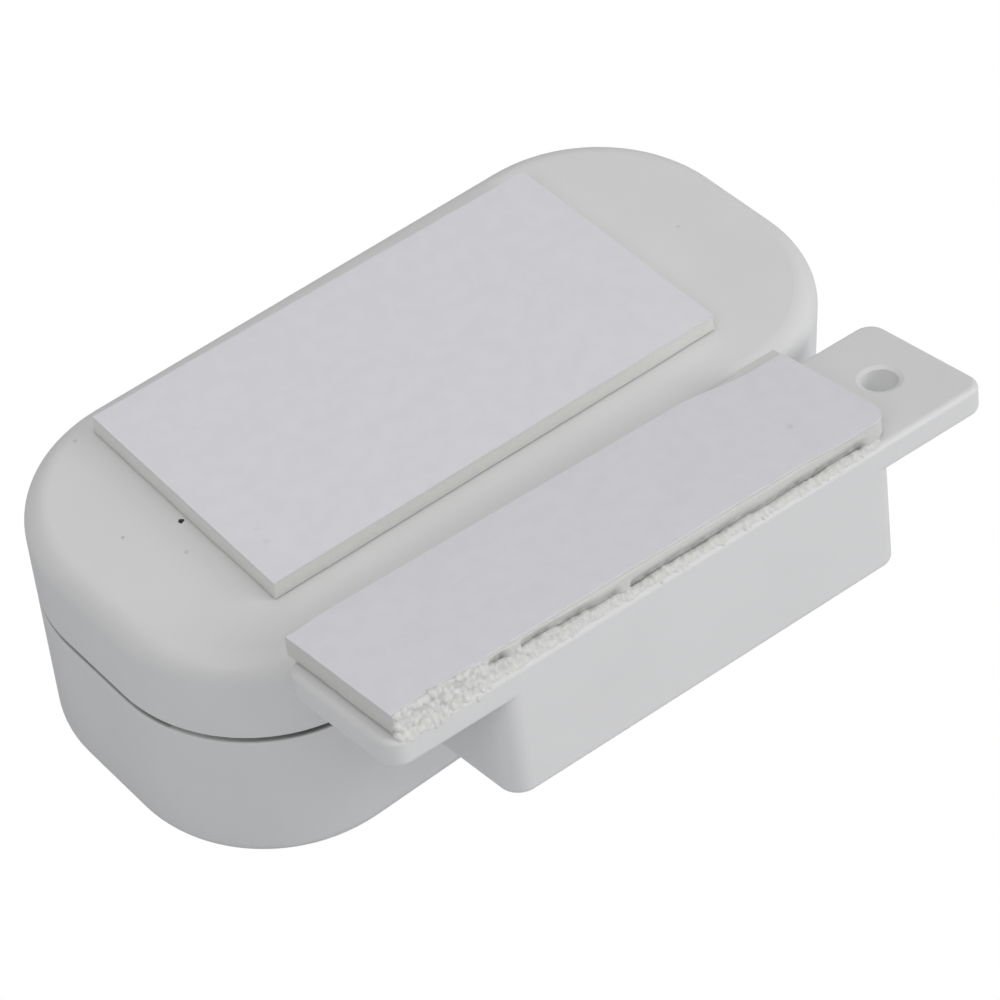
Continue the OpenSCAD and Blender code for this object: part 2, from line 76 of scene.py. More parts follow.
class Shader:
    """A node material being built: a principled surface plus small helpers that return sockets."""

    def __init__(self, name, color, rough, metallic=0.0, specular=0.5):
        self.material = bpy.data.materials.new(name)
        self.material.use_nodes = True
        self.tree = self.material.node_tree
        self.surface = self.tree.nodes["Principled BSDF"]
        self.set("Base Color", (*color, 1.0))
        self.set("Roughness", rough)
        self.set("Metallic", metallic)
        self.set("Specular IOR Level", specular)
        self.place = self.node("ShaderNodeTexCoord").outputs["Object"]

    def node(self, kind, inputs=None, **settings):
        """New node; inputs gives values or sockets by the input's name or number."""
        made = self.tree.nodes.new(kind)
        for key, value in settings.items():
            setattr(made, key, value)
        for key, value in (inputs or {}).items():
            self.feed(made.inputs[key], value)
        return made

    def feed(self, socket, value):
        if isinstance(value, bpy.types.NodeSocket):
            self.tree.links.new(value, socket)
        else:
            socket.default_value = value

    def set(self, name, value):
        self.feed(self.surface.inputs[name], value)

    def noise(self, size, detail=3.0, rough=0.55, stretch=None, distortion=0.0):
        """Noise from 0 to 1 whose features are about size across."""
        inputs = {"Vector": self.stretched(stretch), "Scale": 1.0 / size, "Detail": detail,
                  "Roughness": rough, "Distortion": distortion}
        return self.node("ShaderNodeTexNoise", inputs).outputs["Fac"]

    def cells(self, size):
        """Distance to the nearest of many scattered points, which are about size apart."""
        inputs = {"Vector": self.place, "Scale": 1.0 / size}
        return self.node("ShaderNodeTexVoronoi", inputs).outputs["Distance"]

    def stretched(self, stretch):
        """The place, scaled per axis when stretch is given."""
        if stretch is None:
            return self.place
        return self.node("ShaderNodeMapping", {"Vector": self.place, "Scale": stretch}).outputs["Vector"]

    def ramp(self, value, low, high, out_low=0.0, out_high=1.0):
        """Maps low..high to out_low..out_high, and holds the ends outside of it."""
        inputs = {"Value": value, "From Min": low, "From Max": high, "To Min": out_low, "To Max": out_high}
        return self.node("ShaderNodeMapRange", inputs).outputs["Result"]

    def math(self, operation, a, b=0.0):
        return self.node("ShaderNodeMath", {0: a, 1: b}, operation=operation).outputs["Value"]

    def times(self, a, b):
        return self.math("MULTIPLY", a, b)

    def mix(self, factor, a, b):
        """Colour a at factor 0 and b at 1."""
        a, b = (c if isinstance(c, bpy.types.NodeSocket) else (*c, 1.0) for c in (a, b))
        inputs = {"Factor": factor, "A": a, "B": b}
        return self.node("ShaderNodeMix", inputs, data_type="RGBA").outputs["Result"]

    def bump(self, height, depth, previous=None):
        """Bump of the given depth in metres; returns the normal."""
        inputs = {"Height": height, "Distance": depth, "Strength": 1.0}
        if previous is not None:
            inputs["Normal"] = previous
        return self.node("ShaderNodeBump", inputs).outputs["Normal"]

    def rounded(self, radius):
        """Normal with edges softened over radius."""
        return self.node("ShaderNodeBevel", {"Radius": radius}, samples=4).outputs["Normal"]

    def axis(self, name):
        """One coordinate of the place in the object's own frame, in metres."""
        return self.node("ShaderNodeSeparateXYZ", {0: self.place}).outputs[name]

    def vectors(self, operation, a, b):
        """Distance or dot product of two vectors."""
        return self.node("ShaderNodeVectorMath", {0: a, 1: b}, operation=operation).outputs["Value"]

    def spot(self, centre, radius):
        """1 inside a small ragged spot."""
        away = self.vectors("DISTANCE", self.place, tuple(centre))
        ragged = self.ramp(self.noise(radius, detail=2.0), 0.3, 0.7, -0.3 * radius, 0.3 * radius)
        return self.ramp(self.math("ADD", away, ragged), 0.75 * radius, radius, 1, 0)

    def facing_up(self):
        """1 on faces that look up."""
        normal = self.node("ShaderNodeNewGeometry").outputs["True Normal"]
        return self.ramp(self.vectors("DOT_PRODUCT", normal, (0, 0, 1)), 0.75, 0.9)

    def blend_normals(self, factor, a, b):
        made = self.node("ShaderNodeMix", {"Factor": factor}, data_type="VECTOR")
        sockets = [socket for socket in made.inputs if socket.type == "VECTOR"]
        self.feed(sockets[0], a)
        self.feed(sockets[1], b)
        return [socket for socket in made.outputs if socket.type == "VECTOR"][0]

    def stored(self, name):
        """Number that was stored on the mesh's vertices under a name; 0 on meshes without it."""
        return self.node("ShaderNodeAttribute", attribute_name=name).outputs["Fac"]

    def shelter(self, distance):
        """Near 1 on open faces and lower in hollows that are about distance wide."""
        return self.node("ShaderNodeAmbientOcclusion", {"Distance": distance}, samples=8).outputs["AO"]

    def edge_mask(self, radius):
        """1 along convex and concave edges, 0 on flat areas."""
        normal = self.node("ShaderNodeNewGeometry").outputs["Normal"]
        agreement = self.vectors("DOT_PRODUCT", normal, self.rounded(radius))
        return self.ramp(self.math("SUBTRACT", 1.0, agreement), 0.02, 0.25)


def shade(color, factor):
    """A colour made darker or lighter."""
    return tuple(min(1.0, c * factor) for c in color)


def assign(obj, material):
    """Makes a material an object's only one."""
    obj.data.materials.clear()
    obj.data.materials.append(material)


# -------- places taken from the record

RECORD = frame["record"]
MOUNTS = {mount["name"]: mount for mount in RECORD["mounts"]}
JOINTS = {joint["name"]: joint for joint in frame["joints"]}


class Place:
    """A frame inside the row frame, measured in millimetres."""

    def __init__(self, origin, x_axis, z_axis):
        z = Vector(z_axis).normalized()
        x = Vector(x_axis)
        x = (x - z * x.dot(z)).normalized()
        self.matrix = Matrix((x, z.cross(x), z)).transposed().to_4x4()
        self.matrix.translation = Vector(origin)

    def at(self, x, y, z):
        return self.matrix @ (Vector((x, y, z)) * MM)

    def box(self, node):
        """Lowest and highest corner of a CAD node in this frame."""
        inverse = self.matrix.inverted()
        points = np.array([inverse @ v.co for v in NODES[node].data.vertices]) / MM
        return points.min(0), points.max(0)


def pad_place():
    top = Vector(MOUNTS["pad_face"]["pos_m"])
    return Place(top, top - Vector(JOINTS["main_liner_peel"]["pos_m"]), MOUNTS["pad_face"]["axis"])


def unit_place():
    """The magnet unit: z = 0 is its mounting side, X runs towards the bare ear."""
    taped, bare = (Vector(MOUNTS[name]["pos_m"]) for name in ("ear_hole_taped", "ear_hole_open"))
    axis = MOUNTS["tape_face"]["axis"]
    raw = Place((taped + bare) / 2, bare - taped, axis)
    return Place(raw.at(0, 0, raw.box("magnet_housing")[1][2]), bare - taped, axis)


PAD = pad_place()
UNIT = unit_place()
ROW = Place((0, 0, 0), (1, 0, 0), (0, 0, 1))


# -------- mesh helpers

def ripple(point, size, seed=0.0):
    """Smooth noise from -1 to 1 at a point in millimetres."""
    return noise.noise(Vector(point) / size + Vector((seed, 3.1 * seed, 0)))


def ease(value, low, high):
    """0 at low and 1 at high, smooth in between; low may be above high."""
    t = min(1.0, max(0.0, (value - low) / (high - low)))
    return t * t * (3 - 2 * t)


def shown(name, data):
    """New object in the scene."""
    made = bpy.data.objects.new(name, data)
    bpy.context.scene.collection.objects.link(made)
    return made


def new_object(name, parts, material, body, sharp=None):
    """One mesh object from parts of (points in metres, faces); edges above the angle sharp stay crisp."""
    points, faces = [], []
    for part_points, part_faces in parts:
        start = len(points)
        points += [tuple(p) for p in part_points]
        faces += [[start + i for i in face] for face in part_faces]
    data = bpy.data.meshes.new(name)
    data.from_pydata(points, [], faces)
    data.update()
    data.shade_smooth()
    if sharp is not None:
        data.set_sharp_from_angle(angle=math.radians(sharp))
    made = shown(name, data)
    assign(made, material)
    if body is not None:
        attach(made, body)
    return made


def cuts(low, high, step):
    """Evenly spaced places from low to high, about step apart."""
    return list(np.linspace(low, high, max(1, round((high - low) / step)) + 1))


def lattice(xs, ys, zs):
    """Closed surface of a block cut at the given places: points, outward directions and quads."""
    cut = (xs, ys, zs)
    last = [len(c) - 1 for c in cut]
    index, points, outward, faces = {}, [], [], []

    def corner(key):
        if key not in index:
            index[key] = len(points)
            points.append([cut[a][key[a]] for a in range(3)])
            outward.append([(key[a] == last[a]) - (key[a] == 0) for a in range(3)])
        return index[key]

    for axis in range(3):
        u, v = (axis + 1) % 3, (axis + 2) % 3
        for end in (0, last[axis]):
            for i in range(last[u]):
                for j in range(last[v]):
                    quad = []
                    for du, dv in ((0, 0), (1, 0), (1, 1), (0, 1)):
                        key = [0, 0, 0]
                        key[axis], key[u], key[v] = end, i + du, j + dv
                        quad.append(corner(tuple(key)))
                    faces.append(quad if end else quad[::-1])
    return points, outward, faces


def block(place, xs, ys, zs, shape):
    """Block in a place's millimetres, each point of it moved by shape(point, outward)."""
    points, outward, faces = lattice(xs, ys, zs)
    return [place.at(*shape(p, o)) for p, o in zip(points, outward)], faces


def round_box(place, low, high, radius):
    """Box with rounded edges and corners."""
    low, high = np.array(low, float), np.array(high, float)
    inner = 0.3 * radius
    steps = [[a, a + inner, a + radius, b - radius, b - inner, b] for a, b in zip(low, high)]

    def shape(point, _):
        core = np.clip(point, low + radius, high - radius)
        arm = np.array(point) - core
        return core + arm * (radius / np.linalg.norm(arm))

    return block(place, *steps, shape)


def circle(sides):
    """Cosine and sine at evenly spaced angles round a circle."""
    angles = [2 * math.pi * k / sides for k in range(sides)]
    return [(math.cos(a), math.sin(a)) for a in angles]


def band(a, b, sides):
    """Quads between two closed rings of points that start at the numbers a and b."""
    following = [(k, (k + 1) % sides) for k in range(sides)]
    return [(a + k, a + n, b + n, b + k) for k, n in following]


def lathe(place, profile, sides):
    """Solid of revolution about the place's X axis; profile is (x, radius) from one end to the other."""
    points = [place.at(profile[0][0], 0, 0)]
    faces = []
    for x, radius in profile:
        points += [place.at(x, radius * c, radius * s) for c, s in circle(sides)]
    points.append(place.at(profile[-1][0], 0, 0))
    final = len(points) - 1
    last_ring = 1 + (len(profile) - 1) * sides
    for k in range(sides):
        n = (k + 1) % sides
        faces.append((0, 1 + n, 1 + k))
        faces.append((final, last_ring + k, last_ring + n))
    for ring in range(1, last_ring, sides):
        faces += band(ring, ring + sides, sides)
    return points, faces


def tube(path, radius, sides):
    """Round wire with closed ends along a path of points in metres."""
    path = [Vector(p) for p in path]
    points, faces = [], []
    side = Vector((0.3, 0.5, 0.8))
    for i, p in enumerate(path):
        along = (path[min(i + 1, len(path) - 1)] - path[max(i - 1, 0)]).normalized()
        side = (side - along * side.dot(along)).normalized()
        other = along.cross(side)
        points += [p + (side * c + other * s) * radius for c, s in circle(sides)]
    for i in range(len(path) - 1):
        faces += band(i * sides, (i + 1) * sides, sides)
    faces.append(tuple(reversed(range(sides))))
    faces.append(tuple(len(points) - sides + k for k in range(sides)))
    return points, faces


# -------- materials

def moulded_plastic(name, color, rough=0.46, marks=None):
    """Satin moulded plastic: spark-eroded grain, faint flow marks, edges polished by handling and lightened
    as a painted highlight.
    marks(shader) gives pairs of a mask and the colour that lies over the plastic there."""
    grain, depth = 0.16 * MM, 0.004 * MM
    s = Shader(name, color, rough, specular=0.42)
    flow = s.noise(9 * MM, detail=2.0)
    tint = s.mix(s.ramp(flow, 0.3, 0.7), shade(color, 0.985), shade(color, 1.01))
    dust_and_shade = s.ramp(s.noise(0.5 * MM, detail=4.0, rough=0.7), 0.70, 0.78)
    tint = s.mix(s.times(dust_and_shade, 0.15), tint, shade(color, 0.86))
    worn = s.edge_mask(0.25 * MM)
    # painted highlight: the edges are lightened in colour, and the same mask makes them glossier from
    # handling
    tint = s.mix(s.times(worn, 0.3), tint, shade(color, 1.05))
    for mask, cover in (marks(s) if marks else ()):
        tint = s.mix(mask, tint, cover)
    s.set("Base Color", tint)
    rubbed = s.ramp(s.noise(3 * MM, detail=3.0), 0.35, 0.7, rough - 0.05, rough + 0.05)
    s.set("Roughness", s.math("SUBTRACT", rubbed, s.times(worn, 0.12)))
    fine = s.bump(s.noise(grain, detail=2.0, rough=0.6), depth)
    s.set("Normal", s.bump(s.cells(grain * 1.7), depth * 0.6, fine))
    return s.material


def rim_height(node, sign):
    """Highest or lowest point of the outermost wall of a case half, in metres."""
    points = [v.co for v in NODES[node].data.vertices]
    widest = max(abs(p.y) for p in points)
    return sign * max(sign * p.z for p in points if abs(p.y) > widest - 0.05 * MM)


RIM_RADIUS = 0.25 * MM
SHELL_RIM = rim_height("front_shell", 1) + RIM_RADIUS
COVER_RIM = rim_height("back_cover", -1) - RIM_RADIUS
PAD_EDGE = PAD.box("main_pad_foam")[0]
# dark colour painted into the shadow gap between the case halves as shade
GAP_SHADE = (0.05, 0.056, 0.055)
# dark grey painted along the tape's groove as shade
GROOVE_SHADE = (0.30, 0.30, 0.295)
CASE_WHITE = (0.79, 0.79, 0.79)


def painted_gap_shade(s, low, high):
    """Painted shade in the shadow gap between two heights, varied in patches, and thin past the left end's
    front corner.
    """
    fade = 0.12 * MM
    above = s.ramp(s.axis("Z"), low - fade, low)
    below = s.ramp(s.axis("Z"), high, high + fade, 1, 0)
    inside = s.times(above, below)
    past = s.times(s.ramp(s.axis("Y"), -8.3 * MM, -8.1 * MM, 1, 0),
                   s.ramp(s.axis("Y"), -14 * MM, -10.5 * MM))
    thin = s.times(past, s.ramp(s.axis("X"), -20 * MM, -15 * MM, 0.45, 0))
    patches = s.times(s.ramp(s.noise(5 * MM), 0.35, 0.65, 0.85, 1),
                      s.ramp(s.axis("X"), -29 * MM, -25 * MM, 0.72, 0.95))
    return s.times(s.times(inside, patches), s.math("SUBTRACT", 1.0, thin))


def marks_at(s, place, height, spots):
    """Small marks (x, y, radius, strength, grey) on a plane of a place, all in millimetres."""
    return [(s.times(s.spot(place.at(x, y, height), radius * MM), strength), (grey, grey, grey))
            for x, y, radius, strength, grey in spots]


def cover_marks(s):
    """Painted shade in the shadow gap along the rim, one black speck beside the pad and faint ones further
    out.
    """
    left = PAD_EDGE[0]
    spots = ((left - 0.62, -0.55, 0.27, 1.0, 0.02), (left - 5.0, 1.0, 0.18, 0.4, 0.25),
             (left - 2.26, -3.48, 0.2, 0.25, 0.3), (left - 1.8, 12.1, 0.2, 0.3, 0.3),
             (-left + 6.3, -0.6, 0.2, 0.25, 0.35))
    gap_shade = painted_gap_shade(s, COVER_RIM - 0.02 * MM, COVER_RIM + 0.06 * MM)
    return [(gap_shade, GAP_SHADE)] + marks_at(s, PAD, PAD_EDGE[2], spots)


def shell_marks(s):
    """Painted shade on the step below the cover, in the shadow gap."""
    return [(painted_gap_shade(s, SHELL_RIM - 0.12 * MM, COVER_RIM + 0.02 * MM), GAP_SHADE)]


def foam(name, color):
    """Closed-cell foam, with an adhesive film on the faces that look up and painted shade in its hollows."""
    pore = 0.2 * MM
    s = Shader(name, color, 0.85, specular=0.2)
    cells = s.cells(pore)
    fine = s.noise(pore * 0.5, detail=3.0, rough=0.7)
    tint = s.mix(s.ramp(cells, 0.15, 0.65), shade(color, 1.02), shade(color, 0.96))
    tint = s.mix(s.ramp(s.noise(2.5 * MM), 0.35, 0.75, 0, 0.4), tint, shade(color, 0.96))
    # painted shade: the colour darkens where the surface is sheltered
    hollow_shade = s.ramp(s.shelter(1.2 * MM), 0.3, 0.95, 0.35, 0)
    film = s.facing_up()
    tint = s.mix(hollow_shade, s.mix(film, tint, shade(color, 1.0)), shade(color, 0.35))
    # painted shade along the tape's groove, stored on the vertices
    s.set("Base Color", s.mix(s.stored("dust_and_shade"), tint, GROOVE_SHADE))
    s.set("Roughness", s.ramp(film, 0, 1, 0.85, 0.28))
    s.set("Subsurface Weight", 0.15)
    s.set("Subsurface Radius", (1.0, 0.95, 0.85))
    s.set("Subsurface Scale", 0.35 * MM)
    rough = s.bump(cells, 0.02 * MM, s.bump(fine, 0.018 * MM))
    smooth = s.bump(s.noise(0.8 * MM, detail=3.0), 0.015 * MM)
    s.set("Normal", s.blend_normals(film, rough, smooth))
    return s.material


def glassine(name, color, marks):
    """Release paper: calendered, slightly glossy, with clouds, a few dark flecks and cut edges lightened as
    a painted highlight.
    """
    s = Shader(name, color, 0.42, specular=0.4)
    clouds = s.noise(1.6 * MM, detail=4.0, rough=0.6)
    tint = s.mix(s.ramp(clouds, 0.35, 0.65), shade(color, 0.98), shade(color, 1.01))
    fleck = s.ramp(s.noise(0.55 * MM, detail=2.0, rough=0.5, distortion=0.4), 0.70, 0.77)
    tint = s.mix(s.times(fleck, 0.25), tint, shade(color, 0.86))
    for mask, cover in marks(s):
        tint = s.mix(mask, tint, cover)
    # painted highlight along the cut edges
    edge = s.edge_mask(0.12 * MM)
    s.set("Base Color", s.mix(s.times(edge, 0.6), tint, shade(color, 1.06)))
    s.set("Roughness", s.ramp(clouds, 0.3, 0.7, 0.36, 0.46))
    fibres = s.bump(s.noise(0.25 * MM, detail=3.0, stretch=(1, 2.5, 1)), 0.003 * MM)
    s.set("Normal", s.bump(s.noise(5 * MM, detail=2.0), 0.05 * MM, fibres))
    return s.material


def liner_marks(s):
    """Two small stains on the pad's liner and one on the tape's."""
    on_pad = marks_at(s, PAD, 0, ((-19.7, -8.0, 0.3, 0.12, 0.45), (-19.5, -6.5, 0.22, 0.1, 0.45)))
    return on_pad + marks_at(s, UNIT, 2.12, ((13.3, -1.64, 0.3, 0.2, 0.45),))


def torn_adhesive(name, color):
    """Crumbly cream-white foam and glue that was squeezed out and torn."""
    s = Shader(name, color, 0.8, specular=0.25)
    lumps = s.noise(0.45 * MM, detail=4.0, rough=0.6)
    tint = s.mix(s.ramp(lumps, 0.35, 0.6), shade(color, 0.96), shade(color, 1.03))
    # painted shade along the tape's groove, stored on the vertices
    s.set("Base Color", s.mix(s.stored("dust_and_shade"), tint, GROOVE_SHADE))
    s.set("Subsurface Weight", 0.35)
    s.set("Subsurface Radius", (1.0, 0.96, 0.85))
    s.set("Subsurface Scale", 0.5 * MM)
    s.set("Normal", s.bump(lumps, 0.03 * MM, s.bump(s.noise(0.12 * MM, detail=3.0), 0.012 * MM)))
    return s.material


def metal(name, color, rough):
    """Plated metal: fine drawn lines and cloudy polish."""
    s = Shader(name, color, rough, metallic=1.0)
    lines = s.noise(0.25 * MM, detail=3.0, stretch=(1, 12, 12))
    clouds = s.noise(1.2 * MM, detail=3.0)
    s.set("Base Color", s.mix(s.ramp(clouds, 0.4, 0.75), color, shade(color, 0.9)))
    s.set("Roughness", s.ramp(s.math("ADD", lines, clouds), 0.7, 1.3, rough - 0.08, rough + 0.1))
    s.set("Normal", s.bump(lines, 0.004 * MM, s.rounded(0.06 * MM)))
    return s.material


def solder_mask(name, color):
    """Glossy solder mask over bundles of copper tracks, with the glass weave just visible."""
    s = Shader(name, color, 0.32, specular=0.5)
    wave = s.node("ShaderNodeTexWave", wave_type="BANDS", bands_direction="DIAGONAL")
    s.feed(wave.inputs["Vector"], s.place)
    s.feed(wave.inputs["Scale"], 0.2 / MM)
    s.feed(wave.inputs["Distortion"], 0.0)
    region = s.ramp(s.noise(4 * MM, detail=1.0), 0.48, 0.5)
    track = s.times(s.ramp(wave.outputs["Fac"], 0.45, 0.55), region)
    tint = s.mix(track, shade(color, 0.85), shade(color, 1.7))
    weave = s.times(s.noise(0.3 * MM, stretch=(6, 1, 1)), s.noise(0.3 * MM, stretch=(1, 6, 1)))
    s.set("Base Color", s.mix(s.ramp(weave, 0.2, 0.35, 0, 0.25), tint, shade(color, 1.4)))
    s.set("Coat Weight", 0.3)
    s.set("Normal", s.bump(track, 0.02 * MM, s.rounded(0.08 * MM)))
    return s.material


def resin(name, color, rough=0.55):
    """Matt moulding compound or black engineering plastic."""
    s = Shader(name, color, rough, specular=0.4)
    speckle = s.noise(0.12 * MM, detail=4.0, rough=0.7)
    s.set("Base Color", s.mix(s.ramp(speckle, 0.35, 0.7), shade(color, 0.85), shade(color, 1.2)))
    s.set("Roughness", s.ramp(s.noise(1.5 * MM), 0.3, 0.7, rough - 0.08, rough + 0.08))
    s.set("Normal", s.bump(speckle, 0.006 * MM, s.rounded(0.12 * MM)))
    return s.material


GREEN = (0.10, 0.32, 0.17)
SILVER = (0.75, 0.75, 0.74)
BAND_X = 15 * MM           # where the silver band begins on a cell


def cell_film(name, sign):
    """Printed film on a cell: plain green, with a thin silver rule and a silver band at the button end."""
    s = Shader(name, GREEN, 0.3, metallic=0.55)
    along = s.times(s.axis("X"), sign)
    flake = s.noise(0.08 * MM, detail=2.0)
    ink = s.mix(s.ramp(flake, 0.4, 0.7), shade(GREEN, 0.8), shade(GREEN, 1.4))
    rule_start = s.ramp(along, BAND_X - 1.3 * MM, BAND_X - 1.2 * MM)
    rule_end = s.ramp(along, BAND_X - 0.8 * MM, BAND_X - 0.7 * MM, 1, 0)
    ink = s.mix(s.times(rule_start, rule_end), ink, shade(SILVER, 0.9))
    s.set("Base Color", s.mix(s.ramp(along, BAND_X, BAND_X + 0.05 * MM), ink, SILVER))
    s.set("Coat Weight", 0.5)
    s.set("Coat Roughness", 0.15)
    s.set("Roughness", s.ramp(s.noise(1.5 * MM, detail=4.0, stretch=(1, 3, 3)), 0.3, 0.7, 0.24, 0.4))
    s.set("Normal", s.bump(s.noise(2.5 * MM, detail=2.0), 0.03 * MM))
    return s.material


def clear(name, color, rough=0.08, ior=1.5):
    """Clear glass or plastic with faint waves and a little haze."""
    s = Shader(name, color, rough)
    s.set("Transmission Weight", 0.9)
    s.set("IOR", ior)
    s.set("Roughness", s.ramp(s.noise(0.8 * MM), 0.3, 0.7, rough, rough + 0.08))
    s.set("Normal", s.bump(s.noise(1.5 * MM, detail=2.0), 0.01 * MM))
    return s.material


def ceramic(name, color):
    """Fired ceramic of the small chips, matt and finely grained."""
    s = Shader(name, color, 0.4)
    grain = s.noise(0.1 * MM, detail=4.0, rough=0.7)
    s.set("Base Color", s.mix(s.ramp(grain, 0.35, 0.65), shade(color, 0.85), shade(color, 1.15)))
    s.set("Normal", s.bump(grain, 0.006 * MM, s.rounded(0.08 * MM)))
    return s.material


def sintered(name, color):
    """Ferrite: dark, dense, ground flat, with fine scratches and small pits."""
    s = Shader(name, color, 0.5, metallic=0.2)
    pits = s.ramp(s.cells(0.6 * MM), 0.0, 0.12, 1, 0)
    scratches = s.noise(0.2 * MM, detail=3.0, stretch=(1, 15, 1))
    ground = s.mix(s.ramp(scratches, 0.4, 0.7), color, shade(color, 1.5))
    s.set("Base Color", s.mix(pits, ground, shade(color, 0.5)))
    s.set("Roughness", s.ramp(scratches, 0.3, 0.7, 0.42, 0.6))
    s.set("Normal", s.bump(scratches, 0.006 * MM, s.rounded(0.15 * MM)))
    return s.material


RECIPES = {
    "case_plastic": (moulded_plastic, CASE_WHITE, 0.46, shell_marks),
    "magnet_plastic": (moulded_plastic, CASE_WHITE, 0.42),
    "foam": (foam, (0.84, 0.84, 0.815)),
    "liner": (glassine, (0.83, 0.82, 0.86), liner_marks),
    "clear_plastic": (clear, (0.9, 0.93, 0.94)),
    "board": (solder_mask, (0.03, 0.22, 0.09)),
    "board_track": (solder_mask, (0.05, 0.32, 0.13)),
    "radio_board": (solder_mask, (0.02, 0.07, 0.19)),
    "dark_plastic": (resin, (0.035, 0.035, 0.038)),
    "button_plastic": (resin, (0.13, 0.13, 0.14), 0.45),
    "screw_steel": (metal, (0.62, 0.62, 0.60), 0.34),
    "contact_nickel": (metal, (0.72, 0.70, 0.66), 0.24),
    "reed_glass": (clear, (0.80, 0.92, 0.83), 0.03, 1.52),
    "reed_metal": (metal, (0.55, 0.54, 0.52), 0.32),
    "cell_wrap": (cell_film, 1),
    "led_body": (resin, (0.82, 0.78, 0.55), 0.3),
    "shield_steel": (metal, (0.70, 0.70, 0.70), 0.3),
    "copper": (metal, (0.80, 0.60, 0.30), 0.28),
    "chip_resin": (resin, (0.045, 0.045, 0.05), 0.5),
    "capacitor_resin": (resin, (0.72, 0.50, 0.14), 0.45),
    "chip_ceramic": (ceramic, (0.40, 0.29, 0.19)),
    "magnet_ferrite": (sintered, (0.08, 0.08, 0.09)),
}
MATERIALS = {name: make(name, *values) for name, (make, *values) in RECIPES.items()}
SLOTS = {part["node"]: part["material_slot"] for part in RECORD["subparts"]}
for node_name, node in NODES.items():
    assign(node, MATERIALS[SLOTS[node_name]])
assign(NODES["back_cover"], moulded_plastic("cover_plastic", CASE_WHITE, marks=cover_marks))


# -------- mounting pad and release liners

def rounded_corner(a, b, radius):
    """Rounds a square corner; a and b run from its inner corner to the outer sides."""
    if a <= 0 or b <= 0 or radius <= 0:
        return a, b
    scale = max(a, b) / math.hypot(a, b)
    return a * scale, b * scale


def pad_foam():
    """Foam pad that spreads a little at its foot and stands on a slightly smaller glue film."""
    low, high = PAD.box("main_pad_foam")
    film, step = 0.12, 0.35
    zs = [low[2], low[2] + film, low[2] + film + 0.03] + cuts(low[2] + 0.3, high[2], 0.2)

    def shape(point, out):
        x, y, z = point
        rise = (z - low[2]) / (high[2] - low[2])
        spread = 0.17 * (1 - rise) ** 1.5 + 0.04 * ripple(point, 3) + 0.02 * ripple(point, 0.7, 2)
        if z < low[2] + film + 0.01:
            spread = -0.28 + 0.08 * ripple(point, 1.5, 5)
        lifted = 0.01 if out[2] < 0 else 0.0
        return x + out[0] * spread, y + out[1] * spread, z + lifted

    xs, ys = cuts(low[0], high[0], step), cuts(low[1], high[1], step)
    made = new_object("pad_foam", [block(PAD, xs, ys, zs, shape)], MATERIALS["foam"], "back_cover", 50)
    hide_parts("main_pad_foam")


def liner_sheet(name, place, node, outline):
    """Release liner sheet; outline(x, y) trims its edges."""
    low, high = place.box(node)
    bend, soft = 6.0, 8.0      # a length from the low-X end, and length with fine quads
    xs = cuts(low[0], low[0] + soft, 0.2) + cuts(low[0] + soft, high[0], 0.4)[1:]
    ys = cuts(low[1], high[1], 0.5)

    def shape(point, out):
        x, y, z = point
        edge = min(x - low[0], high[0] - x, y - low[1], high[1] - y)
        lift = 0.015 + 0.01 * ripple((x, y, 0), 6, 1) - 0.02 * ease(edge, 1.0, 0)
        wander = 0.03 + 0.035 * ripple((x, y, 0), 2.5, 4)
        x, y = outline(x + out[0] * wander, y + out[1] * wander)
        return x, y, z + lift

    made = new_object(name, [block(place, xs, ys, [low[2], high[2]], shape)], MATERIALS["liner"], None, 40)
    start, end = (place.at(x, 0, low[2]) for x in (low[0], low[0] + bend))
    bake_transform(made)
    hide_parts(node)


pad_foam()
liner_sheet("pad_liner", PAD, "main_pad_liner", lambda x, y: (x, y))


# -------- magnet tape, crushed along its front edge

TAPE_LOW, TAPE_HIGH = UNIT.box("magnet_tape_foam")
TORN = (-19.3, -20.2)      # from here to the left end the tape's front edge is torn to crumbs
WORN_CORNER = 1.5


def front_gap(x):
    """How far the liner stops short of the front edge."""
    return 0.3 * (1 - ease(x, 9, 15)) + 0.06 * ripple((x, 0, 0), 4, 16)


def back_gap(x):
    """How far the liner stops short of the back edge."""
    return 0.1 + 0.9 * ease(x, 9, 16) + 0.25 * ease(x, -25, -28)


def worn_corner(x, y):
    """Rounds the front corner at the tape's right end."""
    a, b = rounded_corner(x - (TAPE_HIGH[0] - WORN_CORNER), TAPE_LOW[1] + WORN_CORNER - y, WORN_CORNER)
    return TAPE_HIGH[0] - WORN_CORNER + a, TAPE_LOW[1] + WORN_CORNER - b


def groove_height(x):
    """Height of the dark groove along the front edge; it sinks in steps towards the right end."""
    falls = ((0.2, -14, -12.5), (0.25, -11.5, -9.5), (0.15, -8, -6), (0.1, 5, 6.5))
    steps = sum(fall * ease(x, start, end) for fall, start, end in falls)
    return 1.22 - steps + 0.05 * ripple((x, 0, 0), 2.3, 13)


def groove_depth(x):
    """Depth of that groove. Crumbs bridge it in two places, and it ends before the right corner."""
    bridges = ease(abs(x + 7.1), 0.4, 0.8) * ease(abs(x + 17.5), 0.5, 0.9) * ease(x, 17.4, 16.2)
    return (1 - ease(x, *TORN)) * bridges * (0.42 + 0.14 * ripple((x, 0, 0), 2.2, 7))


